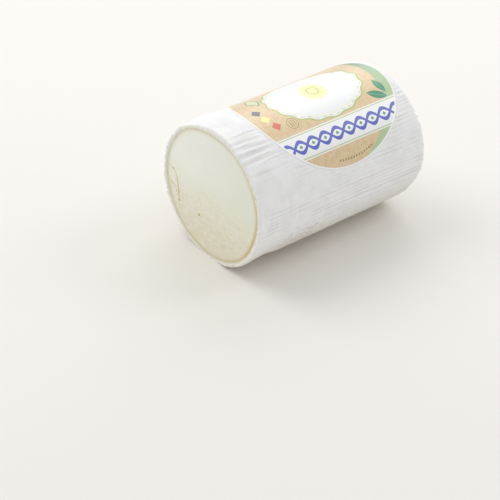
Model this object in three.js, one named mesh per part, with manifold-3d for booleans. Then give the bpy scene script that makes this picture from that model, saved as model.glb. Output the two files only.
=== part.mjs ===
// A log of aged goat cheese lying on its side, with one end cut off flat and a round paper label
// wrapped over its back. Millimetres, +Z up, the log's axis along Y, the cut face towards -Y.
// The origin is on the surface that the log rests on, under the middle of the log.
// Turns are in degrees round the log from its top, positive towards +X.

import * as THREE from "three";
import { mergeVertices } from "three/addons/utils/BufferGeometryUtils.js";
import Module from "manifold-3d";

const wasm = await Module();
wasm.setup();

// The log
const LOG_RADIUS = 42.5;
const LOG_LENGTH = 125.5;
const REST_DEPTH = 1.3; // how far the log's own weight has flattened its underside
const OVALNESS = 0.2;
const OVAL_TURN = -15;
const END_ROUNDING = 4.6; // radius of the uncut end's edge
const END_LEAN = 1.4; // how far the uncut end's right edge stands further out than its middle
const CUT_ROUNDING = 0.9; // the rind rolls over this much at the cut

// Rows of vertices along the side, as shares of the length, closer together near the cut
const SIDE_ROWS = [0.055, 0.115, 0.2, 0.38, 0.6, 0.82];
const END_ROWS = [0, 42, 90]; // degrees round the uncut end's edge

// The cut face: rind, then a soft creamy line under it, then the paste
const RIND_THICKNESS = 2.5;
const CREAM_LINE_WIDTH = 1.4;
const CREAM_LINE_DEPTH = 0.3;

// Where the hand-made log swells or sinks
const SWELLINGS = [
  { what: "collar behind the cut", turn: -20, halfTurn: 95, fromCut: 11, halfLength: 12, height: 1.2 },
  { what: "thin rind on top of the cut", turn: -22, halfTurn: 32, fromCut: 0, halfLength: 6, height: -0.9 },
  { what: "shoulder right of the cut", turn: 58, halfTurn: 30, fromCut: 0, halfLength: 30, height: 0.8 },
  { what: "dent low on the right", turn: 135, halfTurn: 26, fromCut: 15, halfLength: 14, height: -1.1 },
  { what: "shoulder of the uncut end", turn: 78, halfTurn: 50, fromCut: 125, halfLength: 40, height: 1.1 },
];

// The rind's lengthwise ridges, left by the mat that the log dried on
const RIDGE_COUNT = 108;
const COLUMNS_PER_RIDGE = 3; // one in the groove and two on the crest
const RIDGE_JITTER = 0.3; // share of the pitch that a groove may stray by
const RIDGE_WANDER = 0.35; // degrees
const WANDER_LENGTH = 14; // a groove swings to one side and back over about six of these
const RIDGE_DEPTH = 0.42;
const SHALLOW_ENDS = 6; // the grooves fade over this length at both ends
const FOLD_DEPTH = 1; // the deeper folds between the cut and the label
const FOLDS = { turn: 21, halfTurn: 20, fromCut: 18, halfLength: 17 };
const SMOOTH_FLANK = { turn: 55, halfTurn: 28, fromCut: 10, halfLength: 70 };
const CRAG_HEIGHT = 0.5; // torn teeth of rind along the left of the cut
const CRAGS = { turn: -100, halfTurn: 65, fromCut: 0, halfLength: 3 };

// The label: a round sticker, wrapped over the top of the log
const LABEL_RADIUS = 50;
const LABEL_THICKNESS = 0.35;
const LABEL_FROM_CUT = 71; // its centre, along the log
const LABEL_TURN = 1; // its centre, round the log
const LABEL_RINGS = 6;
const LABEL_SEGMENTS = 60;
const SEAT_RADIUS = 41.9; // the label presses the rind in to this radius
const SEAT_HEIGHT = 4;
const CLEARANCE = 0.3;

// Marks in the cut face, measured from the log's axis
const CRACK_HALF_WIDTH = 0.28;
const CRACK_STEPS = 14;
const CRACK_POINTS = [
  new THREE.Vector3(-38, 0, 0.6),
  new THREE.Vector3(-33, 0, -0.4),
  new THREE.Vector3(-29.6, 0, -7),
  new THREE.Vector3(-27.6, 0, -18),
];
const CURD_HOLES = [
  { x: -30.7, z: -13.7, radius: 0.7 },
  { x: -27.6, z: -18.8, radius: 0.9 },
];

const CHEESE_COLOUR = 0xf4f4f2;
const LABEL_COLOUR = 0xdcc093;

const DEGREE = Math.PI / 180;
const COLUMNS = RIDGE_COUNT * COLUMNS_PER_RIDGE;

// A repeatable draw from 0 to 1 for each whole number, with a series of its own for each use.
function draw(k, series) {
  const x = Math.sin(k * 12.9898 + series * 78.233) * 43758.5453;
  return x - Math.floor(x);
}
const SERIES = { groovePlace: 0, wander: 1, grooveDepth: 2, crag: 3 };

// 1 at the centre, falling smoothly to 0 at the half width.
function hill(x, centre, halfWidth) {
  const t = Math.abs(x - centre) / halfWidth;
  return t >= 1 ? 0 : 0.5 + 0.5 * Math.cos(Math.PI * t);
}

// How much a place on the side belongs to an area: 1 in its middle, 0 outside it.
function within(area, turn, fromCut) {
  const across = ((((turn - area.turn) % 360) + 540) % 360) - 180;
  return hill(across, 0, area.halfTurn) * hill(fromCut, area.fromCut, area.halfLength);
}

function swelling(turn, fromCut) {
  const oval = OVALNESS * Math.cos(2 * (turn - OVAL_TURN) * DEGREE);
  return SWELLINGS.reduce((sum, area) => sum + area.height * within(area, turn, fromCut), oval);
}

// How deep the grooves between the ridges are there.
function grooveDepth(turn, fromCut) {
  const ends = 0.35 + 0.65 * Math.min(1, fromCut / SHALLOW_ENDS, (LOG_LENGTH - fromCut) / SHALLOW_ENDS);
  const ridges = RIDGE_DEPTH * (1 - 0.7 * within(SMOOTH_FLANK, turn, fromCut));
  return (ridges + FOLD_DEPTH * within(FOLDS, turn, fromCut)) * ends;
}

// The turn of one column of vertices: the grooves stray a little and wander along the log.
function columnTurn(column, fromCut) {
  const ridge = Math.floor(column / COLUMNS_PER_RIDGE);
  const share = (column % COLUMNS_PER_RIDGE) / COLUMNS_PER_RIDGE;
  const here = draw(ridge, SERIES.groovePlace) - 0.5;
  const next = draw((ridge + 1) % RIDGE_COUNT, SERIES.groovePlace) - 0.5;
  const strayed = RIDGE_JITTER * THREE.MathUtils.lerp(here, next, share);
  const phase = 2 * Math.PI * draw(ridge, SERIES.wander);
  const wander = RIDGE_WANDER * Math.sin(fromCut / WANDER_LENGTH + phase);
  return ((ridge + share + strayed) * 360) / RIDGE_COUNT + wander;
}

// Half of the log's outline, from the middle of the cut face round to the middle of the uncut end.
function logProfile() {
  const creamOuter = LOG_RADIUS - RIND_THICKNESS;
  const creamInner = creamOuter - CREAM_LINE_WIDTH;
  const cut = [
    [0, 0],
    [creamInner, 0],
    [(creamInner + creamOuter) / 2, CREAM_LINE_DEPTH],
    [creamOuter, 0],
    [LOG_RADIUS - CUT_ROUNDING, 0.1 * CUT_ROUNDING],
    [LOG_RADIUS, CUT_ROUNDING],
  ];
  const side = SIDE_ROWS.map((share) => [LOG_RADIUS, share * LOG_LENGTH]);
  const end = END_ROWS.map((turn) => [
    LOG_RADIUS - END_ROUNDING * (1 - Math.cos(turn * DEGREE)),
    LOG_LENGTH - END_ROUNDING * (1 - Math.sin(turn * DEGREE)),
  ]);
  return [...cut, ...side, ...end, [0, LOG_LENGTH]].map(([r, y]) => new THREE.Vector2(r, y));
}

// How much a point of the profile takes part in the rind's relief: all of it outside, none in the paste.
function rindShare(radius) {
  return THREE.MathUtils.smoothstep(radius, LOG_RADIUS - RIND_THICKNESS, LOG_RADIUS - 0.3);
}

// The log with its ridges, folds and swellings, before the label's seat is pressed into it.
function ridgedLog() {
  const profile = logProfile();
  const geometry = new THREE.LatheGeometry(profile, COLUMNS);
  const position = geometry.getAttribute("position");
  const floor = -LOG_RADIUS + REST_DEPTH;
  for (let i = 0; i < position.count; i++) {
    const column = Math.floor(i / profile.length) % COLUMNS;
    const ridge = Math.floor(column / COLUMNS_PER_RIDGE);
    const { x: radius, y: fromCut } = profile[i % profile.length];
    const turn = columnTurn(column, fromCut);
    const inGroove = column % COLUMNS_PER_RIDGE === 0;
    const groove = grooveDepth(turn, fromCut) * (0.5 + draw(ridge, SERIES.grooveDepth));
    const crag = CRAG_HEIGHT * within(CRAGS, turn, fromCut) * draw(column, SERIES.crag);
    const relief = swelling(turn, fromCut) + crag - (inGroove ? groove : 0);
    const r = radius + rindShare(radius) * relief;
    const x = r * Math.sin(turn * DEGREE);
    const z = Math.max(r * Math.cos(turn * DEGREE), floor);
    const lean = END_LEAN * THREE.MathUtils.smoothstep(fromCut, 0.7 * LOG_LENGTH, LOG_LENGTH);
    position.setXYZ(i, x, fromCut + (lean * x) / LOG_RADIUS, z);
  }
  return geometry;
}

// A flat disc bent round the log: the label itself, or the seat that it lies in.
function wrappedDisc(discRadius, innerRadius, thickness) {
  const rings = Array.from({ length: LABEL_RINGS + 1 }, (_, i) => (discRadius * i) / LABEL_RINGS);
  const outline = [
    ...rings.map((r) => new THREE.Vector2(r, 0)),
    ...rings.reverse().map((r) => new THREE.Vector2(r, thickness)),
  ];
  const geometry = new THREE.LatheGeometry(outline, LABEL_SEGMENTS);
  const position = geometry.getAttribute("position");
  for (let i = 0; i < position.count; i++) {
    const turn = LABEL_TURN * DEGREE + position.getX(i) / LOG_RADIUS;
    const r = innerRadius + position.getY(i);
    const fromCut = LABEL_FROM_CUT - position.getZ(i);
    position.setXYZ(i, r * Math.sin(turn), fromCut, r * Math.cos(turn));
  }
  return geometry;
}

// The crack that runs down the left of the cut face: a thin wedge, half of it in the paste.
function crackWedge() {
  const section = new THREE.Shape([
    new THREE.Vector2(-CRACK_HALF_WIDTH, 0),
    new THREE.Vector2(0, -3 * CRACK_HALF_WIDTH),
    new THREE.Vector2(CRACK_HALF_WIDTH, 0),
    new THREE.Vector2(0, 3 * CRACK_HALF_WIDTH),
  ]);
  const extrudePath = new THREE.CatmullRomCurve3(CRACK_POINTS);
  return new THREE.ExtrudeGeometry(section, { steps: CRACK_STEPS, bevelEnabled: false, extrudePath });
}

function curdHole({ x, z, radius }) {
  return new THREE.SphereGeometry(radius, 10, 8).translate(x, 0, z);
}

function toSolid(geometry) {
  const bare = geometry.clone();
  bare.deleteAttribute("normal");
  bare.deleteAttribute("uv");
  const merged = mergeVertices(bare, 1e-4);
  return new wasm.Manifold(
    new wasm.Mesh({
      numProp: 3,
      vertProperties: merged.getAttribute("position").array,
      triVerts: new Uint32Array(merged.index.array),
    }),
  );
}

function toGeometry(solid) {
  const mesh = solid.getMesh();
  const geometry = new THREE.BufferGeometry();
  geometry.setAttribute("position", new THREE.BufferAttribute(mesh.vertProperties, 3));
  geometry.setIndex(new THREE.BufferAttribute(mesh.triVerts, 1));
  geometry.computeVertexNormals();
  return geometry;
}

// The ridged log with the label's seat, the crack and the curd holes taken out of it.
function cheeseGeometry() {
  const seat = wrappedDisc(LABEL_RADIUS + CLEARANCE, SEAT_RADIUS, SEAT_HEIGHT);
  const hollows = [seat, crackWedge(), ...CURD_HOLES.map(curdHole)];
  return toGeometry(
    hollows.reduce((solid, hollow) => solid.subtract(toSolid(hollow)), toSolid(ridgedLog())),
  );
}

const cheese = new THREE.Mesh(
  cheeseGeometry(),
  new THREE.MeshStandardMaterial({ color: CHEESE_COLOUR, roughness: 0.85, metalness: 0 }),
);
cheese.name = "cheese";

const label = new THREE.Mesh(
  wrappedDisc(LABEL_RADIUS, SEAT_RADIUS + CLEARANCE, LABEL_THICKNESS),
  new THREE.MeshStandardMaterial({ color: LABEL_COLOUR, roughness: 0.7, metalness: 0 }),
);
label.name = "label";

const log = new THREE.Group();
log.add(cheese, label);

// The middle of the log's underside goes to the origin.
const bounds = new THREE.Box3().setFromObject(log);
const middle = bounds.getCenter(new THREE.Vector3());
log.position.set(-middle.x, -middle.y, -bounds.min.z);

export default log;
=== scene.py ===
"""A log of aged goat cheese with a round paper label, on a plain pale floor."""

import math

import bmesh
import bpy
import numpy as np
from mathutils import Matrix, Vector


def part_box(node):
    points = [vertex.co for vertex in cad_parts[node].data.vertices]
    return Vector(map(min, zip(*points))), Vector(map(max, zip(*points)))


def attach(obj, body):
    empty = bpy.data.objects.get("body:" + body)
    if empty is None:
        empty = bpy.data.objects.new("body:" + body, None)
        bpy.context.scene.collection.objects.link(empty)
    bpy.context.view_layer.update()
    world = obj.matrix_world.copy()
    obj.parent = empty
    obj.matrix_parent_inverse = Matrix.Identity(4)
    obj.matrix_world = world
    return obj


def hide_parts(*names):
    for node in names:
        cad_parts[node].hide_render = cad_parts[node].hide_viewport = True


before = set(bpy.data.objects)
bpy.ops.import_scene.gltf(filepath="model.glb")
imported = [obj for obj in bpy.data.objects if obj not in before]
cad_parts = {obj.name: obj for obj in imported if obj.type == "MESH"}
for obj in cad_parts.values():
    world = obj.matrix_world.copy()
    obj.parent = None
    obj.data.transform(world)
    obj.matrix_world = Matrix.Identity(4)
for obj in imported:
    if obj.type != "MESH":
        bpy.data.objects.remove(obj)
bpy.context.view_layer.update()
cheese_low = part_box("cheese")[0]

MM = 0.001
DEGREE = math.pi / 180

# The log, in millimetres. A place on it is a turn, in degrees from the top towards +X, a distance
# from the cut, and a radius from the log's axis. Its own weight flattens the underside by the
# rest depth. The uncut end leans a little, from a share of the length on.
LOG_RADIUS = 42.5
LOG_LENGTH = 125.5
REST_DEPTH = 1.3
AXIS_SIDE = -0.34
OVALNESS = 0.2
OVAL_TURN = -15
END_ROUNDING = 4.6
END_LEAN = 1.4
LEAN_START = 0.7
CUT_ROUNDING = 0.9
CUT_CENTRE = np.array([AXIS_SIDE, cheese_low.y / MM, LOG_RADIUS - REST_DEPTH])

# The rind's section at the cut, and the cream line just inside it
CREAM_RADIUS = 39.3
CREAM_HALF_WIDTH = 1.0
CREAM_DEPTH = 0.18
RIND_INSIDE = CREAM_RADIUS + CREAM_HALF_WIDTH
RIND_OVERLAP = 0.15
BACK_RIND = 3.0

# Fineness of the meshes
RIND_COLUMNS = 648
FINE_ROWS_END = 32
FINE_ROWS = 52
COARSE_ROWS = 60
END_ROW_STEP = 2
SECTION_ROWS = 8
PASTE_CELLS = 295
LABEL_CELLS = 150


def area(turn, half_turn, from_cut, half_length, height=1.0):
    """A patch of the log: its middle, its reach in degrees and millimetres, and a height."""
    return {
        "turn": turn,
        "half_turn": half_turn,
        "from_cut": from_cut,
        "half_length": half_length,
        "height": height,
    }


# Where the log swells or sinks
SWELLINGS = [
    area(-20, 95, 11, 12, 1.2),
    area(-22, 32, 0, 6, -0.9),
    area(58, 30, 0, 30, 0.8),
    area(135, 26, 15, 14, -1.1),
    area(78, 50, 125, 40, 1.1),
]

# Where the cream line comes closer to the axis, and where its stain, and the painted shade inside it, is
# strongest
CREAM_DIPS = [area(-4, 36, 0, 1, -1.1), area(108, 34, 0, 1, -0.7)]
CREAM_STAIN = area(105, 75, 0, 1)

# Where the rind looks different
FOLDS = area(30, 31, 9, 24)
SMOOTH_TOP = area(-14, 34, 12, 32)
SMOOTH_FLANK = area(55, 30, 10, 75)
RIDGED_FLANK = area(108, 50, 85, 90)
LUMPY_FLANK = area(100, 50, 30, 34)
CRAGS = area(-95, 70, 0, 3.5)
SCUFFS = area(120, 22, 36, 28)

# The ridges along the rind, and the folds near the cut. Pitches and the ridges' wander are in
# degrees, and jitter is a share of the pitch.
RIDGE_COUNT = 108
RIDGE_PITCH = 360 / RIDGE_COUNT
RIDGE_DEPTH = 0.42
RIDGE_JITTER = 0.45
RIDGE_WANDER = 0.35
WANDER_LENGTH = 14
SHALLOW_ENDS = 6
FOLD_DEPTH = 0.5
FOLD_PITCH = 5.6
FOLD_JITTER = 0.35

# Heights of the rest of the rind's relief
WAVE_HEIGHT = 0.14
CROSS_HEIGHT = 0.1
LUMP_HEIGHT = 0.12
SKIN_HEIGHT = 0.05
SCUFF_HEIGHT = 0.3
TORN_HEIGHT = 0.8
SECTION_GRAIN = 0.2
WRINKLE_DEPTH = 0.22
END_DEPTH = 0.2
DISH_DEPTH = 0.5
DISH_RADIUS = 30

# The label. Its edge is pressed onto the rind, and the rind is pressed to the seat under it.
LABEL_RADIUS = 50
LABEL_FROM_CUT = 71
LABEL_TURN = 1
LABEL_INSIDE = 42.2
LABEL_THICKNESS = 0.35
LABEL_WAVE = 0.08
EDGE_WIDTH = 12
EDGE_SINK = 0.27
EDGE_GROOVES = 0.2
SEAT_RADIUS = 41.95


# Shape functions, all on arrays

SCRAMBLE = 43758.5453

# Series of steady random shares: where the grooves lie, how they wave, and how deep each cuts
PLACES, WAVES, STRENGTHS, FOLD_STRENGTHS = range(4)


def draw(k, series):
    """A steady random share from 0 to 1 for each whole number, other in each series."""
    x = np.sin(k * 12.9898 + series * 78.233) * SCRAMBLE
    return x - np.floor(x)


def hill(x, centre, half_width):
    """One at the centre, falling smoothly to nothing at the half width."""
    t = np.abs(x - centre) / half_width
    return np.where(t < 1, 0.5 + 0.5 * np.cos(np.pi * t), 0)


def smooth_step(x, low, high):
    t = np.clip((x - low) / (high - low), 0, 1)
    return t * t * (3 - 2 * t)


def within(place, turn, from_cut):
    """One in the middle of an area, falling smoothly to nothing at its edge."""
    across = (turn - place["turn"] + 180) % 360 - 180
    return hill(across, 0, place["half_turn"]) * hill(from_cut, place["from_cut"], place["half_length"])


def knot(a, b, seed):
    """A steady random number from -1 to 1 for each pair of whole numbers."""
    x = np.sin(a * 127.1 + b * 311.7 + seed * 74.7) * SCRAMBLE
    return 2 * (x - np.floor(x)) - 1


def noise(u, v, seed, repeat=None):
    """Smooth noise from -1 to 1 with a knot at each whole number, repeating in u if asked."""
    column, row = np.floor(u), np.floor(v)
    across, up = smooth_step(u - column, 0, 1), smooth_step(v - row, 0, 1)
    left, right = (column, column + 1) if repeat is None else (column % repeat, (column + 1) % repeat)
    low = knot(left, row, seed) * (1 - across) + knot(right, row, seed) * across
    high = knot(left, row + 1, seed) * (1 - across) + knot(right, row + 1, seed) * across
    return low * (1 - up) + high * up


def round_noise(turn, from_cut, degrees, length, seed):
    """Noise round the log, with a knot each so many degrees and millimetres."""
    repeat = round(360 / degrees)
    return noise(turn * repeat / 360, from_cut / length, seed, repeat)


def swelling(turn, from_cut):
    """The log's slightly oval section, and where it swells or sinks."""
    oval = OVALNESS * np.cos(2 * (turn - OVAL_TURN) * DEGREE)
    return oval + sum(place["height"] * within(place, turn, from_cut) for place in SWELLINGS)


def cream_radius(turn):
    return CREAM_RADIUS + sum(dip["height"] * within(dip, turn, 0) for dip in CREAM_DIPS)


def from_label_edge(turn, from_cut):
    """Distance outside the label's edge, over the log's surface; negative under the label."""
    around = ((turn - LABEL_TURN + 180) % 360 - 180) * DEGREE * LOG_RADIUS
    return np.hypot(around, from_cut - LABEL_FROM_CUT) - LABEL_RADIUS


def folds(turn, from_cut):
    """Depth of the folds near the cut: rounded valleys between sharp crests."""
    jitter = FOLD_JITTER * round_noise(turn, from_cut, degrees=12, length=20, seed=6)
    place = turn / FOLD_PITCH + jitter
    fold = np.floor(place)
    share = place - fold
    valley = 4 * share * (1 - share)
    strength = 0.55 + 0.9 * draw(fold, FOLD_STRENGTHS)
    return FOLD_DEPTH * within(FOLDS, turn, from_cut) * valley * strength


def groove_stray(groove, from_cut):
    """How far a groove lies from its even place, as a share of the pitch."""
    wave = np.sin(from_cut / WANDER_LENGTH + 2 * np.pi * draw(groove, WAVES))
    return RIDGE_JITTER * (draw(groove, PLACES) - 0.5) + RIDGE_WANDER / RIDGE_PITCH * wave


def groove_lines(turn, from_cut):
    """How close each place is to a groove, one on it and nothing midway, and the groove's strength."""
    place = (turn % 360) / RIDGE_PITCH
    groove = np.floor(place)
    share = place - groove
    following = (groove + 1) % RIDGE_COUNT
    place = place - groove_stray(groove, from_cut) * (1 - share) - groove_stray(following, from_cut) * share
    groove = np.floor(place)
    share = place - groove
    here = 0.5 + draw(groove % RIDGE_COUNT, STRENGTHS)
    beyond = 0.5 + draw((groove + 1) % RIDGE_COUNT, STRENGTHS)
    return 0.5 + 0.5 * np.cos(2 * np.pi * share), here * (1 - share) + beyond * share


def grooves(turn, from_cut):
    """How far the grooves between the ridges, and the folds, cut into the rind."""
    hollow, strength = groove_lines(turn, from_cut)
    # Deep and broad on the ridged flank, weak on the smooth parts and among the folds
    crisp = within(RIDGED_FLANK, turn, from_cut)
    patchy = round_noise(turn, from_cut, degrees=5, length=10, seed=5)
    faded = 0.65 + 0.3 * crisp + (0.75 - 0.5 * crisp) * patchy
    ridged = 1 - 0.65 * within(SMOOTH_FLANK, turn, from_cut) + 0.6 * crisp
    ridged *= (1 - 0.9 * within(SMOOTH_TOP, turn, from_cut)) * (1 - 0.8 * within(FOLDS, turn, from_cut))
    # Shallow at both ends and under the label
    ends = 0.3 + 0.7 * np.clip(np.minimum(from_cut, LOG_LENGTH - from_cut) / SHALLOW_ENDS, 0, 1)
    free = 0.2 + 0.8 * smooth_step(from_label_edge(turn, from_cut), -0.5, 3)
    ridges = RIDGE_DEPTH * faded * ridged * hollow ** (1.6 - 0.7 * crisp) * strength
    return (ridges * ends + folds(turn, from_cut)) * free


def rind_waves(turn, from_cut):
    return WAVE_HEIGHT * round_noise(turn, from_cut, degrees=20, length=24, seed=11)


def rind_relief(turn, from_cut):
    """How far the rind's skin stands out from a plain cylinder."""
    cross = CROSS_HEIGHT + LUMP_HEIGHT * within(LUMPY_FLANK, turn, from_cut)
    cross = cross * round_noise(turn, from_cut, degrees=8, length=2.6, seed=12)
    skin = SKIN_HEIGHT * round_noise(turn, from_cut, degrees=1.5, length=1.6, seed=13)
    fine = (cross + skin) * smooth_step(from_label_edge(turn, from_cut), 0, 2.5)
    scuffed = np.abs(round_noise(turn, from_cut, degrees=2, length=2.2, seed=14))
    scuffed = SCUFF_HEIGHT * scuffed * within(SCUFFS, turn, from_cut)
    torn = np.maximum(0, round_noise(turn, from_cut, degrees=1.5, length=1, seed=15))
    torn = TORN_HEIGHT * within(CRAGS, turn, from_cut) * torn
    broad = swelling(turn, from_cut) - grooves(turn, from_cut) + rind_waves(turn, from_cut)
    return broad + fine + scuffed + torn


def in_place(turn, from_cut, radius):
    """World positions, in metres, of places on the log; nothing goes below the floor."""
    x = radius * np.sin(turn * DEGREE)
    lean = END_LEAN * smooth_step(from_cut, LEAN_START * LOG_LENGTH, LOG_LENGTH) * x / LOG_RADIUS
    z = radius * np.cos(turn * DEGREE)
    world = np.stack([x, from_cut + lean, z], axis=-1) + CUT_CENTRE
    world[:, 2] = np.maximum(world[:, 2], 0)
    return world * MM


# Mesh helpers

def positions(bm):
    return np.array([v.co[:] for v in bm.verts])


def finished(bm, name, world, node=None):
    """The bmesh as a piece of the object, its vertices at these world positions."""
    bmesh.ops.recalc_face_normals(bm, faces=bm.faces)
    mesh = bpy.data.meshes.new(name)
    bm.to_mesh(mesh)
    bm.free()
    mesh.vertices.foreach_set("co", np.asarray(world, np.float32).ravel())
    mesh.update()
    mesh.shade_smooth()
    piece = bpy.data.objects.new(name, mesh)
    bpy.context.collection.objects.link(piece)
    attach(piece, "root")
    if node:
        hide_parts(node)
    return piece


def note(piece, name, values):
    """Keeps a number for each vertex, for the material to read."""
    kept = piece.data.attributes.new(name, "FLOAT", "POINT")
    kept.data.foreach_set("value", np.asarray(values, np.float32))


def give_uv(piece, uv):
    """A UV map from one place for each vertex."""
    mesh = piece.data
    corner = np.empty(len(mesh.loops), np.int32)
    mesh.loops.foreach_get("vertex_index", corner)
    layer = mesh.uv_layers.new(name="print")
    layer.uv.foreach_set("vector", uv[corner].astype(np.float32).ravel())


def round_disc(u, v):
    """Turns a square from -1 to 1 into a round disc."""
    return u * np.sqrt(1 - v * v / 2), v * np.sqrt(1 - u * u / 2)


# The rind: a shell with a section at the cut, ridged outside and closed at the uncut end

QUARTER = 90
SLACK = 0.01
NEAR = 0.5


def rounded(bend, rounding):
    """How far a rounded edge draws back two ways, at a bend from nothing to a quarter turn: the
    first falls from the whole rounding to nothing, and the second grows from nothing to it."""
    return rounding * (1 - math.sin(bend * DEGREE)), rounding * (1 - math.cos(bend * DEGREE))


def rind_outline():
    """The shell's section as (radius, from cut), from the axis at the uncut end to its inner wall."""
    end = [(radius, LOG_LENGTH) for radius in range(0, int(LOG_RADIUS - END_ROUNDING), END_ROW_STEP)]
    edge = [rounded(bend, END_ROUNDING) for bend in range(0, QUARTER + 1, 15)]
    edge = [(LOG_RADIUS - inwards, LOG_LENGTH - back) for inwards, back in edge]
    coarse = np.linspace(LOG_LENGTH - END_ROUNDING, FINE_ROWS_END, COARSE_ROWS)[1:]
    fine = np.linspace(FINE_ROWS_END, CUT_ROUNDING, FINE_ROWS)[1:-1]
    side = [(LOG_RADIUS, from_cut) for from_cut in (*coarse, *fine)]
    rim = [rounded(bend, CUT_ROUNDING) for bend in range(0, QUARTER + 1, 30)]
    rim = [(LOG_RADIUS - inwards, back) for back, inwards in rim]
    section = np.linspace(LOG_RADIUS - CUT_ROUNDING, RIND_INSIDE, SECTION_ROWS)[1:]
    section = [(radius, 0) for radius in section]
    inside = [(RIND_INSIDE, LOG_LENGTH - BACK_RIND), (0, LOG_LENGTH - BACK_RIND)]
    return np.array(end + edge + side + rim + section + inside)


def rolled_shell(outline):
    """A grid rolled up round the axis, with its rows along the outline."""
    rows = len(outline) - 1
    bm = bmesh.new()
    bmesh.ops.create_grid(bm, x_segments=RIND_COLUMNS, y_segments=rows, size=1)
    u, v, _ = positions(bm).T
    radius, from_cut = (np.interp((v + 1) / 2 * rows, np.arange(rows + 1), column) for column in outline.T)
    rolled = np.stack([radius * np.sin(u * np.pi), from_cut, radius * np.cos(u * np.pi)], axis=-1)
    for vert, place in zip(bm.verts, rolled):
        vert.co = place
    bmesh.ops.remove_doubles(bm, verts=bm.verts, dist=1e-4)
    return bm


def pressed_under_label(skin, turn, from_cut):
    """The skin's radius, no more than the seat's under the label and free outside its edge."""
    free = smooth_step(from_label_edge(turn, from_cut), -0.9, 0.35)
    return np.minimum(skin, SEAT_RADIUS) * (1 - free) + skin * free


def section_grain(turn, radius):
    """Roughness of the rind's section at the cut."""
    fine = round_noise(turn, radius * 2, degrees=0.9, length=1.3, seed=21)
    coarse = round_noise(turn, radius, degrees=2.5, length=1.1, seed=22)
    return SECTION_GRAIN * (fine + coarse)


def end_depth(x, z):
    """Depth of the wrinkles and the shallow dish in the uncut end."""
    broad = noise(x / 8 + 40, z / 8 + 40, seed=23)
    sharp = np.abs(noise(x / 3 + 40, z / 3 + 40, seed=24))
    return END_DEPTH + WRINKLE_DEPTH * (broad + sharp) + DISH_DEPTH * hill(np.hypot(x, z), 0, DISH_RADIUS)


def make_rind():
    bm = rolled_shell(rind_outline())
    x, from_cut, z = positions(bm).T
    turn, radius = np.degrees(np.arctan2(x, z)), np.hypot(x, z)
    # The share of the relief that a place takes: none at the inner wall, and all of it at the skin
    outside = smooth_step(radius, RIND_INSIDE, LOG_RADIUS - 0.3)
    inner_wall = np.abs(radius - RIND_INSIDE) < SLACK
    at_cut = (from_cut < NEAR) & (radius > RIND_INSIDE - SLACK)
    at_end = (from_cut > LOG_LENGTH - NEAR) & (radius < LOG_RADIUS - END_ROUNDING + NEAR)
    skin = radius + outside * rind_relief(turn, from_cut)
    skin = np.where(radius > LOG_RADIUS - 1, pressed_under_label(skin, turn, from_cut), skin)
    # The inner wall and the section's inner edge follow the cream line
    shift = cream_radius(turn) + CREAM_HALF_WIDTH - RIND_OVERLAP - RIND_INSIDE
    skin += shift * np.where(inner_wall, 1, np.where(at_cut, 1 - outside, 0))
    along = from_cut + np.where(at_cut, section_grain(turn, radius), 0)
    along -= np.where(at_end, end_depth(x, z), 0)
    piece = finished(bm, "rind", in_place(turn, along, skin), "cheese")
    stringy = 0.25 + 0.75 * within(RIDGED_FLANK, turn, from_cut) ** 0.5
    stringy = stringy * (1 - within(SMOOTH_TOP, turn, from_cut))
    # The grooves' depth, which the finish paints as shade
    note(piece, "hollow", outside * grooves(turn, from_cut))
    note(piece, "section", np.where(at_cut, 1 - smooth_step(radius, LOG_RADIUS - 1.2, LOG_RADIUS), 0))
    note(piece, "scuff", outside * within(SCUFFS, turn, from_cut))
    note(piece, "stringy", outside * stringy)
    return piece


# The paste: a round core whose front is the cut face

# Cracks as lines of (side, up) from the axis, with their depths
CRACKS = [
    [(-38.6, 0.7), (-36, 0.2), (-33, -0.5), (-31, -3), (-29.6, -7), (-28.3, -13), (-27.6, -18)],
    [(-36.6, -9), (-34, -10), (-30.8, -11.6)],
    [(-9.9, -7.2), (-8.7, -9), (-8.1, -11.6)],
]
CRACK_DEPTHS = (0.2, 0.13, 0.1)
CRACK_HALF_WIDTH = 0.52

# Curd holes as (side, up, radius, depth)
PITS = [
    (-30.7, -13.7, 0.6, 0.35),
    (-27.6, -18.8, 0.85, 0.5),
    (-29.3, -16.2, 0.4, 0.2),
    (-9.5, -18.6, 0.9, 0.45),
    (2, -23.5, 0.45, 0.2),
    (14, -27, 0.5, 0.2),
    (17, -19, 0.4, 0.15),
]

# The cut face: the turn and depth of the knife's streaks, how deep the face lies, and its slow waves
KNIFE_TURN = -9
KNIFE_DEPTH = 0.05
FACE_DEPTH = 0.1
FACE_WAVE = 0.12


def from_path(x, z, path):
    """Distance from a line through the given points."""
    nearest = np.full(x.shape, 1e3)
    for (x0, z0), (x1, z1) in zip(path, path[1:]):
        dx, dz = x1 - x0, z1 - z0
        share = np.clip(((x - x0) * dx + (z - z0) * dz) / (dx * dx + dz * dz), 0, 1)
        nearest = np.minimum(nearest, np.hypot(x - x0 - share * dx, z - z0 - share * dz))
    return nearest


def paste_marks(x, z):
    """Depth of the cracks and curd holes in the cut face."""
    wobble = 0.3 * noise(x * 0.9, z * 0.9, seed=31) + 0.25 * noise(x * 1.9, z * 1.9, seed=35)
    uneven = 0.75 + 0.5 * noise(x * 1.2, z * 1.2, seed=34)
    depth = np.zeros_like(x)
    for path, deep in zip(CRACKS, CRACK_DEPTHS):
        line = hill(from_path(x + wobble, z - wobble, path), 0, CRACK_HALF_WIDTH)
        depth = np.maximum(depth, deep * line * uneven)
    for side, up, radius, deep in PITS:
        depth = np.maximum(depth, deep * hill(np.hypot(x + wobble - side, z - up), 0, radius))
    return depth


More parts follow.
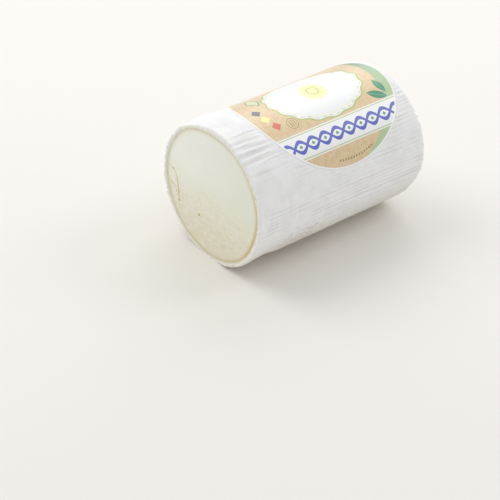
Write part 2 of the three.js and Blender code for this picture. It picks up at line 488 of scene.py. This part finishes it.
def face_waves(x, z):
    """Slow waves of the cut face, and the knife's finer ones in its own direction."""
    sine, cosine = math.sin(KNIFE_TURN * DEGREE), math.cos(KNIFE_TURN * DEGREE)
    across, along = x * sine - z * cosine, x * cosine + z * sine
    slow = FACE_WAVE * noise(x / 11, z / 11, seed=32)
    return slow + KNIFE_DEPTH * noise(along / 9, across / 1.3, seed=33)


def core():
    """A square grid whose rim is drawn back one unit, closed behind."""
    bm = bmesh.new()
    bmesh.ops.create_grid(bm, x_segments=PASTE_CELLS, y_segments=PASTE_CELLS, size=1)
    rim = [e for e in bm.edges if e.is_boundary]
    made = bmesh.ops.extrude_edge_only(bm, edges=rim)["geom"]
    back = [e for e in made if isinstance(e, bmesh.types.BMVert)]
    bmesh.ops.translate(bm, verts=back, vec=(0, 0, 1))
    bmesh.ops.holes_fill(bm, edges=[e for e in bm.edges if e.is_boundary], sides=0)
    return bm


def make_paste():
    bm = core()
    u, v, deep = positions(bm).T
    at_back = deep > 0.5
    u, v = round_disc(u, v)
    turn, share = np.degrees(np.arctan2(u, v)), np.hypot(u, v)
    cream = cream_radius(turn)
    radius = share * (cream + CREAM_HALF_WIDTH)
    x, z = radius * np.sin(turn * DEGREE), radius * np.cos(turn * DEGREE)
    marks = paste_marks(x, z)
    cream_line = CREAM_DEPTH * hill(radius, cream, CREAM_HALF_WIDTH * 1.2)
    face = FACE_DEPTH + face_waves(x, z) + cream_line + marks
    from_cut = np.where(at_back, LOG_LENGTH - BACK_RIND, face)
    piece = finished(bm, "paste", in_place(turn, from_cut, radius), "cheese")
    note(piece, "mark", np.where(at_back, 0, marks))
    note(piece, "from_cream", radius - cream)
    note(piece, "stain", 0.5 + 0.5 * within(CREAM_STAIN, turn, 0))
    return piece


# The label: a thin round sheet, laid over the log

def make_label():
    bm = bmesh.new()
    bmesh.ops.create_grid(bm, x_segments=LABEL_CELLS, y_segments=LABEL_CELLS, size=1)
    made = bmesh.ops.extrude_face_region(bm, geom=bm.faces[:])["geom"]
    top = [v for v in made if isinstance(v, bmesh.types.BMVert)]
    bmesh.ops.translate(bm, verts=top, vec=(0, 0, 1))
    u, v, out = positions(bm).T
    u, v = round_disc(u, v)
    around, along = u * LABEL_RADIUS, v * LABEL_RADIUS
    turn = LABEL_TURN + around / LOG_RADIUS / DEGREE
    from_cut = LABEL_FROM_CUT + along
    edge = smooth_step(np.hypot(around, along), LABEL_RADIUS - EDGE_WIDTH, LABEL_RADIUS - 1)
    seat = LOG_RADIUS - EDGE_SINK + swelling(turn, from_cut) + rind_waves(turn, from_cut)
    seat -= EDGE_GROOVES * grooves(turn, from_cut)
    inside = LABEL_INSIDE + LABEL_WAVE * round_noise(turn, from_cut, degrees=14, length=15, seed=41)
    radius = inside * (1 - edge) + seat * edge + out * LABEL_THICKNESS
    piece = finished(bm, "label_print", in_place(turn, from_cut, radius), "label")
    give_uv(piece, np.stack([u, v], axis=-1) / 2 + 0.5)
    return piece


# Crumbs of rind, on the edge of the cut, beside the cream line and round the uncut end

CRUMB_SEED = 5
CRUMB_SINK = 0.1
WHOLE_TURN = 6.28


def skin_radius(turn, from_cut):
    """Radius of a crumb's middle where the log isn't rounded off."""
    return LOG_RADIUS + float(rind_relief(turn, from_cut)) - CRUMB_SINK


def rim_place(rng, turn):
    """A place on the rounded edge of the cut."""
    from_cut, inwards = rounded(rng.uniform(0, QUARTER), CUT_ROUNDING)
    return turn, from_cut, skin_radius(turn, from_cut) - inwards


def cream_place(rng, turn):
    """A place on the cut, just outside the cream line."""
    return turn, 0, float(cream_radius(turn)) + CREAM_HALF_WIDTH + rng.uniform(0.1, 0.8)


def far_place(rng, turn):
    """A place on the rounded edge of the uncut end."""
    inwards, back = rounded(rng.uniform(20, 80), END_ROUNDING)
    from_cut = LOG_LENGTH - back
    return turn, from_cut, skin_radius(turn, from_cut) - inwards


# Where the crumbs lie, how many, their middle turn and its spread, and their radii
CRUMBS = (
    (rim_place, 170, -98, 19, 0.25, 0.85),
    (rim_place, 60, 100, 14, 0.15, 0.5),
    (cream_place, 110, 36, 20, 0.18, 0.5),
    (far_place, 130, 86, 22, 0.2, 0.62),
)


def add_crumb(bm, rng, middle, size):
    """A lumpy crumb, turned and stretched at random, and flat where it meets the floor."""
    spun = Matrix.Rotation(rng.uniform(0, WHOLE_TURN), 4, Vector(rng.normal(size=3)))
    stretched = Matrix.Diagonal((*rng.uniform(0.7, 1.3, size=3), 1))
    crumb = bmesh.ops.create_icosphere(bm, subdivisions=1, radius=size)["verts"]
    for v in crumb:
        v.co *= rng.uniform(0.75, 1.2)
    bmesh.ops.transform(bm, matrix=Matrix.Translation(middle) @ spun @ stretched, verts=crumb)
    for v in crumb:
        v.co.z = max(v.co.z, 0)


def make_crumbs():
    bm = bmesh.new()
    rng = np.random.default_rng(CRUMB_SEED)
    for find_place, count, turn, turn_spread, smallest, largest in CRUMBS:
        for _ in range(count):
            size = rng.uniform(smallest, largest)
            place = np.array(find_place(rng, rng.normal(turn, turn_spread)))
            middle = Vector(in_place(*place.reshape(3, 1))[0] / MM)
            add_crumb(bm, rng, middle, size)
    return finished(bm, "rim_crumbs", positions(bm) * MM)


# Material helpers

def linear(code):
    """A colour written as six hex digits, as a linear one."""
    parts = [int(code[i : i + 2], 16) / 255 for i in (0, 2, 4)]
    return [c / 12.92 if c <= 0.04045 else ((c + 0.055) / 1.055) ** 2.4 for c in parts] + [1]


class Field:
    """A number that varies over a surface. Arithmetic on it adds Math nodes to its material."""

    def __init__(self, tree, socket):
        self.tree, self.socket = tree, socket

    def math(self, operation, *others):
        node = self.tree.nodes.new("ShaderNodeMath")
        node.operation = operation
        for slot, value in zip(node.inputs, (self, *others)):
            plug(self.tree, slot, value)
        return Field(self.tree, node.outputs[0])

    def __add__(self, other):
        return self.math("ADD", other)

    def __sub__(self, other):
        return self.math("SUBTRACT", other)

    def __mul__(self, other):
        return self.math("MULTIPLY", other)

    def __abs__(self):
        return self.math("ABSOLUTE")

    def ranged(self, low, high, to_low=0.0, to_high=1.0):
        """The number carried smoothly from one range to another, and held beyond its ends."""
        node = self.tree.nodes.new("ShaderNodeMapRange")
        node.interpolation_type = "SMOOTHSTEP"
        for slot, value in zip(node.inputs, (self, low, high, to_low, to_high)):
            plug(self.tree, slot, value)
        return Field(self.tree, node.outputs[0])

    def below(self, edge, soft=0.12):
        """One where the number is under this, falling softly to nothing."""
        return self.ranged(edge - soft, edge + soft, 1, 0)


def plug(tree, slot, value):
    """Links a field to a socket, or sets the socket to a plain value."""
    if isinstance(value, Field):
        tree.links.new(value.socket, slot)
    else:
        slot.default_value = value


class Finish:
    """A new material with one Principled shader, and the patterns that feed it.

    Constants go straight to the shader's own sockets, with an underscore for each space."""

    def __init__(self, name, roughness, **constants):
        self.material = bpy.data.materials.new(name)
        self.material.use_nodes = True
        self.tree = self.material.node_tree
        self.shader = self.tree.nodes["Principled BSDF"]
        self.shader.inputs["Roughness"].default_value = roughness
        for socket, value in constants.items():
            self.shader.inputs[socket.replace("_", " ")].default_value = value
        self.place = self.tree.nodes.new("ShaderNodeTexCoord").outputs["Object"]

    def attribute(self, name):
        node = self.tree.nodes.new("ShaderNodeAttribute")
        node.attribute_name = name
        return Field(self.tree, node.outputs["Fac"])

    def axes(self, socket=None):
        """The three parts of a place: of the object's own coordinates unless a socket is given."""
        node = self.tree.nodes.new("ShaderNodeSeparateXYZ")
        self.tree.links.new(socket or self.place, node.inputs[0])
        return [Field(self.tree, out) for out in node.outputs]

    def speckle(self, size, detail=2, stretch=(1, 1, 1), turn=(0, 0, 0)):
        """Noise with spots of the given size in millimetres, drawn out by stretch, then turned."""
        mapping = self.tree.nodes.new("ShaderNodeMapping")
        mapping.vector_type = "TEXTURE"
        mapping.inputs["Rotation"].default_value = [angle * DEGREE for angle in turn]
        mapping.inputs["Scale"].default_value = [size * MM * s for s in stretch]
        texture = self.tree.nodes.new("ShaderNodeTexNoise")
        texture.inputs["Scale"].default_value = 1
        texture.inputs["Detail"].default_value = detail
        self.tree.links.new(self.place, mapping.inputs["Vector"])
        self.tree.links.new(mapping.outputs[0], texture.inputs["Vector"])
        return Field(self.tree, texture.outputs["Fac"])

    def mix(self, under, over, share):
        """One colour laid over another. A colour is six hex digits or the result of a mix."""
        node = self.tree.nodes.new("ShaderNodeMix")
        node.data_type = "RGBA"
        plug(self.tree, node.inputs[0], share)
        plug(self.tree, node.inputs[6], linear(under) if isinstance(under, str) else under)
        plug(self.tree, node.inputs[7], linear(over) if isinstance(over, str) else over)
        return Field(self.tree, node.outputs[2])

    def bump(self, height, depth):
        """Relief of the given depth in millimetres."""
        node = self.tree.nodes.new("ShaderNodeBump")
        node.inputs["Strength"].default_value = 1
        node.inputs["Distance"].default_value = depth * MM
        plug(self.tree, node.inputs["Height"], height)
        self.tree.links.new(node.outputs[0], self.shader.inputs["Normal"])

    def colour(self, value):
        plug(self.tree, self.shader.inputs["Base Color"], value)

    def put_on(self, piece):
        piece.data.materials.clear()
        piece.data.materials.append(self.material)


# Light goes a little way into the cheese
SOFT_SCATTER = {
    "Subsurface_Weight": 0.25,
    "Subsurface_Radius": (1, 0.9, 0.7),
    "Subsurface_Scale": 1.6 * MM,
    "Specular_IOR_Level": 0.3,
}


# The rind's finish: soft clouds, fine strings and grain, painted shade in the hollows and towards the
# floor, and brown scuffs

RIND_WHITE = "f5f5f5"
RIND_CLOUD = "efefee"
RIND_STRING = "dfddd9"
RIND_HOLLOW_SHADE = "d8d7d3"
RIND_LOW_SHADE = "d5ccbc"
RIND_SECTION = "f0eee4"
RIND_FLAKE = "d3c6b2"
RIND_SPECK = "a98a62"


def rind_finish():
    finish = Finish("white rind", 0.75, **SOFT_SCATTER)
    height = finish.axes()[2] * (1 / MM)
    cloud = finish.speckle(9, 3)
    strings = finish.speckle(0.55, stretch=(1, 26, 1))
    grain = finish.speckle(0.45)
    creased = abs(finish.speckle(2.6, 1, stretch=(3, 0.6, 3)) - 0.5).ranged(0, 0.06, 1, 0)
    creased = creased * cloud.ranged(0.5, 0.62)
    stringy = finish.attribute("stringy")
    scuff = finish.attribute("scuff")
    flaked = finish.speckle(1.8, 6, stretch=(1, 2.2, 1)) + scuff * 0.1
    flaked = flaked.ranged(0.52, 0.68) * scuff.ranged(0.05, 0.6)
    base = finish.mix(RIND_WHITE, RIND_CLOUD, cloud.ranged(0.35, 0.7))
    base = finish.mix(base, RIND_STRING, strings.ranged(0.52, 0.72, 0, 0.14) * stringy)
    # Painted shade in the grooves and folds, deepest where they cut deepest
    base = finish.mix(base, RIND_HOLLOW_SHADE, finish.attribute("hollow").ranged(0.05, 0.75, 0, 0.55))
    # Painted shade, warm-tinted, on the rind towards the floor, with a cloudy edge
    base = finish.mix(base, RIND_LOW_SHADE, (height + cloud * 14).ranged(5, 42, 0.85, 0))
    base = finish.mix(base, RIND_SECTION, finish.attribute("section").ranged(0.1, 0.9, 0, 0.9))
    base = finish.mix(base, RIND_FLAKE, flaked * 0.45)
    base = finish.mix(base, RIND_SPECK, finish.speckle(0.7).ranged(0.56, 0.7) * flaked * 0.7)
    finish.colour(base)
    relief = (strings - 0.5) * stringy * 0.5 + finish.speckle(1.1, 3) * 0.5 + grain * 0.3
    finish.bump(relief - creased * 0.25 - flaked * 0.7, 0.16)
    return finish


CRUMB_WHITE = "fcfcfa"
CRUMB_CREAM = "f1efe8"


def crumb_finish():
    finish = Finish("white crumbs", 0.85, Specular_IOR_Level=0.2)
    finish.colour(finish.mix(CRUMB_WHITE, CRUMB_CREAM, finish.speckle(1.5).ranged(0.4, 0.7)))
    finish.bump(finish.speckle(0.3), 0.08)
    return finish


# The paste's finish: warmer below, with knife streaks, yellow marks, a stained cream line with painted
# shade just inside it, and painted light on its left

PASTE_LOW = "ece7cf"
PASTE_LIT_LEFT = "f4f6eb"
PASTE_SHADED_RIGHT = "e9ebde"
STREAK_DARK = "d9cfab"
STREAK_PALE = "fdfcf4"
PASTE_MARK = "cbae4c"
CREAM_PAINTED_SHADE = "d3cbab"
CREAM_FAINT = "d8caa0"
CREAM_STRONG = "dbc598"


def paste_finish():
    finish = Finish("cut paste", 0.5, **SOFT_SCATTER)
    x, _, z = finish.axes()
    high = (z * (1 / (80 * MM)) + (finish.speckle(14) - 0.5) * 0.35).ranged(0.1, 0.75)
    # Painted light: the cut face lighter on its left, as lit from that side
    upper = finish.mix(PASTE_LIT_LEFT, PASTE_SHADED_RIGHT, x.ranged(-30 * MM, 40 * MM))
    base = finish.mix(PASTE_LOW, upper, high)
    streaks = finish.speckle(0.75, 3, stretch=(3.6, 1, 1), turn=(0, -KNIFE_TURN, 0))
    rough = z.ranged(20 * MM, 54 * MM, 1, 0.15)
    base = finish.mix(base, STREAK_DARK, streaks.ranged(0.48, 0.3, 0, 0.35) * rough)
    base = finish.mix(base, STREAK_PALE, streaks.ranged(0.54, 0.68, 0, 0.55) * rough)
    base = finish.mix(base, PASTE_MARK, finish.attribute("mark").ranged(0.01, 0.13, 0, 0.95))
    from_cream = finish.attribute("from_cream")
    stain = finish.attribute("stain")
    # Painted shade in a soft band just inside the cream line, where the paste sinks towards the rind,
    # stronger where the stain is
    base = finish.mix(base, CREAM_PAINTED_SHADE, from_cream.ranged(-3.5, -0.6, 0, 0.35) * stain)
    line = abs(from_cream + 0.1).ranged(0.1, 1.7, 1, 0) * stain
    base = finish.mix(base, finish.mix(CREAM_FAINT, CREAM_STRONG, stain.ranged(0.6, 1)), line)
    finish.colour(base)
    finish.bump((streaks + finish.speckle(0.5, 3) * 0.6) * rough, 0.4)
    return finish


# The label's print, in millimetres round the log and along it from the label's centre

WHITE = "f2f3f3"
BLUE = "3c4fb8"
LIME = "b5c36c"
PALE_LIME = "dfe3bb"
LEAF = "3d9271"
GRASS = "a9cf9c"
RED = "d96f5c"
YELLOW = "f0ec9c"
CHARCOAL = "5f5e68"
BROWN = "8f744a"
KRAFT = "dec297"
PALE_KRAFT = "e7d0a8"
KRAFT_RIB = "d2b282"
MARGIN_WHITE = "fbfbfb"


def spread(x, y):
    """Distance from the centre."""
    return (x * x + y * y).math("SQRT")


def turned(x, y, centre, angle):
    """The same place, seen from another centre and turned."""
    x, y = x - centre[0], y - centre[1]
    cosine, sine = math.cos(angle * DEGREE), math.sin(angle * DEGREE)
    return x * cosine + y * sine, y * cosine - x * sine


def repeated(x, pitch):
    """Distance from the nearest of evenly spaced lines."""
    return abs(x.math("FLOORED_MODULO", pitch) - pitch / 2)


def kraft(finish, along):
    """Brown paper with fine ribs round the log."""
    base = finish.mix(KRAFT, PALE_KRAFT, finish.speckle(2.5, 3).ranged(0.35, 0.65))
    ribs = repeated(along + finish.speckle(6, 1) * 0.8, 1.6).ranged(0.1, 0.75, 0, 0.35)
    return finish.mix(base, KRAFT_RIB, ribs)


CRESCENT_CENTRE = (-6, -17)
CRESCENT_RADIUS = 60


def crescent(finish, base, around, along):
    """A green rim where the label reaches beyond a large circle."""
    from_centre = spread(around - CRESCENT_CENTRE[0], along - CRESCENT_CENTRE[1])
    rim = from_centre.ranged(CRESCENT_RADIUS - 0.4, CRESCENT_RADIUS + 0.4)
    return finish.mix(base, finish.mix(LEAF, GRASS, around.ranged(-30, 25)), rim * 0.8)


MEDALLION_CENTRE = (-3, 2)
MEDALLION_HALF_WIDTH = 23
MEDALLION_HALF_LENGTH = 33
SCALLOPS = 16
SCALLOP_DEPTH = 0.022


def medallion(finish, base, around, along):
    """A white oval with a scalloped green rim, a thin yellow ring and a ring of dashes."""
    x = (around - MEDALLION_CENTRE[0]) * (1 / MEDALLION_HALF_WIDTH)
    y = (along - MEDALLION_CENTRE[1]) * (1 / MEDALLION_HALF_LENGTH)
    turn = x.math("ARCTAN2", y)
    share = spread(x, y) - (turn * SCALLOPS).math("COSINE") * SCALLOP_DEPTH
    base = finish.mix(base, WHITE, share.below(1, 0.008))
    base = finish.mix(base, LIME, abs(share - 0.99).below(0.02, 0.008))
    base = finish.mix(base, YELLOW, abs(spread(x, y) - 0.87).below(0.007, 0.006) * 0.9)
    dashes = repeated(turn, 0.16).below(0.045, 0.015) * abs(share - 0.93).below(0.012, 0.006)
    return finish.mix(base, LIME, dashes * 0.6)


SUN_RADIUS = 8.2
SUN_RAYS = 12
SUN_RAY_HEIGHT = 1.3
SUN_RING_RADIUS = 3.6


def sun(finish, base, around, along):
    """A yellow sun in the medallion, with a green ring in it."""
    x, y = around - MEDALLION_CENTRE[0], along - MEDALLION_CENTRE[1]
    rays = (x.math("ARCTAN2", y) * SUN_RAYS).math("COSINE") * SUN_RAY_HEIGHT
    base = finish.mix(base, YELLOW, (spread(x, y) - rays).below(SUN_RADIUS, 0.4) * 0.9)
    return finish.mix(base, LIME, abs(spread(x, y) - SUN_RING_RADIUS).below(0.5) * 0.8)


BAND_AROUND = 29
BAND_HALF_WIDTH = 8
PIPING_INSET = 1
PLAIT_PITCH = 9
PLAIT_HEIGHT = 3.2
STRAND_HALF_WIDTH = 1.15
BEAD_RADIUS = 1.2


def plaited_band(finish, base, around, along):
    """A white band along the log, with green piping and a blue plait with a bead in each eye."""
    across = around - BAND_AROUND
    base = finish.mix(base, WHITE, abs(across).below(BAND_HALF_WIDTH))
    base = finish.mix(base, LIME, abs(abs(across) - (BAND_HALF_WIDTH - PIPING_INSET)).below(0.25))
    wave = (along * (math.pi / PLAIT_PITCH)).math("SINE") * PLAIT_HEIGHT
    for strand in (across - wave, across + wave):
        base = finish.mix(base, BLUE, abs(strand).below(STRAND_HALF_WIDTH))
    bead = abs(across) + repeated(along, PLAIT_PITCH)
    return finish.mix(base, LEAF, bead.below(BEAD_RADIUS))


# Leaves as centre, turn and half length
SPRIG = (((17, 34.5), 60, 6.5), ((12, 40), 10, 5.5))


def sprig(finish, base, around, along):
    """Two green leaves with a pale midrib."""
    for centre, angle, half_length in SPRIG:
        p, q = turned(around, along, centre, angle)
        half_width = half_length * 0.42
        blade = abs(q) + p * p * (half_width / half_length**2)
        base = finish.mix(base, LEAF, blade.below(half_width))
        base = finish.mix(base, GRASS, abs(q).below(0.12) * abs(p).below(half_length * 0.8))
    return base


# Small diamonds as centre and colour
DIAMONDS = ((-2, -41, CHARCOAL), (5, -40, YELLOW), (12, -37.5, RED))
DIAMOND_REACH = 3.2
LOZENGE_CENTRE = (-15, -33)
LOZENGE_REACH = 4.2
LOZENGE_RIM = 0.7


def diamonds(finish, base, around, along):
    """Three small diamonds in a row."""
    for x, y, colour in DIAMONDS:
        base = finish.mix(base, colour, (abs(around - x) + abs(along - y)).below(DIAMOND_REACH))
    return base


def lozenge(finish, base, around, along):
    """A pale green lozenge with a darker rim."""
    reach = abs(around - LOZENGE_CENTRE[0]) * 0.6 + abs(along - LOZENGE_CENTRE[1])
    base = finish.mix(base, LEAF, reach.below(LOZENGE_REACH))
    return finish.mix(base, PALE_LIME, reach.below(LOZENGE_REACH - LOZENGE_RIM))


SEAL_CENTRE = (14, -27.5)
SEAL_RADIUS = 3.6
BAR_PITCH = 1.4
TICKS_RADIUS = 45.3
TICKS_TURN = 1.5
TICK_PITCH = 0.045


def seal(finish, base, around, along):
    """A thin brown ring round a few bars."""
    from_seal = spread(around - SEAL_CENTRE[0], along - SEAL_CENTRE[1])
    base = finish.mix(base, BROWN, abs(from_seal - SEAL_RADIUS).below(0.16, 0.1))
    bars = repeated(along, BAR_PITCH).below(0.25) * from_seal.below(SEAL_RADIUS - 1)
    return finish.mix(base, BROWN, bars * 0.8)


def tick_arc(finish, base, around, along):
    """A row of short brown ticks on an arc near the label's edge, its turns in radians."""
    turn = around.math("ARCTAN2", along)
    ticks = repeated(turn, TICK_PITCH).below(0.012, 0.004) * abs(turn - TICKS_TURN).below(0.3, 0.02)
    return finish.mix(base, BROWN, ticks * abs(spread(around, along) - TICKS_RADIUS).below(0.6) * 0.8)


MOTIFS = (crescent, medallion, sun, plaited_band, sprig, diamonds, lozenge, seal, tick_arc)


def label_finish():
    finish = Finish(
        "printed kraft",
        0.4,
        Specular_IOR_Level=0.6,
        Coat_Weight=0.8,
        Coat_Roughness=0.32,
    )
    uv = finish.tree.nodes.new("ShaderNodeUVMap")
    uv.uv_map = "print"
    around, along, _ = finish.axes(uv.outputs[0])
    around = (around - 0.5) * (2 * LABEL_RADIUS)
    along = (along - 0.5) * (2 * LABEL_RADIUS)
    base = kraft(finish, along)
    for motif in MOTIFS:
        base = motif(finish, base, around, along)
    margin = spread(around, along).ranged(LABEL_RADIUS - 1.1, LABEL_RADIUS - 0.9)
    finish.colour(finish.mix(base, MARGIN_WHITE, margin))
    finish.bump(finish.speckle(0.5), 0.02)
    return finish


# Floor and light, in metres and watts

FLOOR_REACH = 2.5
FLOOR_PALE = "efece6"
WORLD_COLOUR = (0.985, 0.99, 1, 1)
WORLD_LIGHT = 0.67
LAMPS_AIM = (0, 0, 0.04)

# Each softbox's name, place, width and power
SOFTBOXES = (
    ("key", (-0.85, -0.55, 1.15), 1.0, 6.8),
    ("fill", (0.35, 0.75, 0.8), 0.5, 1.6),
    ("back", (-0.6, 0.62, 0.75), 1.0, 3.0),
)


def make_floor():
    bm = bmesh.new()
    bmesh.ops.create_grid(bm, x_segments=1, y_segments=1, size=FLOOR_REACH)
    mesh = bpy.data.meshes.new("floor")
    bm.to_mesh(mesh)
    bm.free()
    floor = bpy.data.objects.new("floor", mesh)
    bpy.context.collection.objects.link(floor)
    finish = Finish("pale floor", 0.8)
    finish.colour(linear(FLOOR_PALE))
    finish.put_on(floor)


def soft_lamp(name, place, size, power):
    """A round softbox that faces the log."""
    lamp = bpy.data.lights.new(name, "AREA")
    lamp.shape = "DISK"
    lamp.size = size
    lamp.energy = power
    softbox = bpy.data.objects.new(name, lamp)
    softbox.location = place
    facing = Vector(LAMPS_AIM) - softbox.location
    softbox.rotation_euler = facing.to_track_quat("-Z", "Y").to_euler()
    bpy.context.collection.objects.link(softbox)


def make_light():
    world = bpy.data.worlds.new("studio")
    world.use_nodes = True
    background = world.node_tree.nodes["Background"]
    background.inputs["Color"].default_value = WORLD_COLOUR
    background.inputs["Strength"].default_value = WORLD_LIGHT
    bpy.context.scene.world = world
    for name, place, size, power in SOFTBOXES:
        soft_lamp(name, place, size, power)
    bpy.context.scene.view_settings.view_transform = "Standard"


# The camera, with its turns in degrees, and its lens and its place from the cut's centre in millimetres

CAMERA_AZIMUTH = 46.923
CAMERA_ELEVATION = 36.519
CAMERA_ROLL = 4.786
CAMERA_LENS = 119
CAMERA_NEAR = 50
CAMERA_FROM_CUT_CENTRE = (569.47, -499.4, 525.52)


def make_camera():
    camera = bpy.data.objects.new("camera", bpy.data.cameras.new("camera"))
    camera.data.lens = CAMERA_LENS
    camera.data.clip_start = CAMERA_NEAR * MM
    tilt = Matrix.Rotation((90 - CAMERA_ELEVATION) * DEGREE, 4, "X")
    swing = Matrix.Rotation(CAMERA_AZIMUTH * DEGREE, 4, "Z")
    roll = Matrix.Rotation(CAMERA_ROLL * DEGREE, 4, "Z")
    place = Matrix.Translation(Vector(CUT_CENTRE + np.array(CAMERA_FROM_CUT_CENTRE)) * MM)
    camera.matrix_world = place @ swing @ tilt @ roll
    bpy.context.collection.objects.link(camera)
    bpy.context.scene.camera = camera


make_camera()
rind_finish().put_on(make_rind())
crumb_finish().put_on(make_crumbs())
paste_finish().put_on(make_paste())
label_finish().put_on(make_label())
make_floor()
make_light()
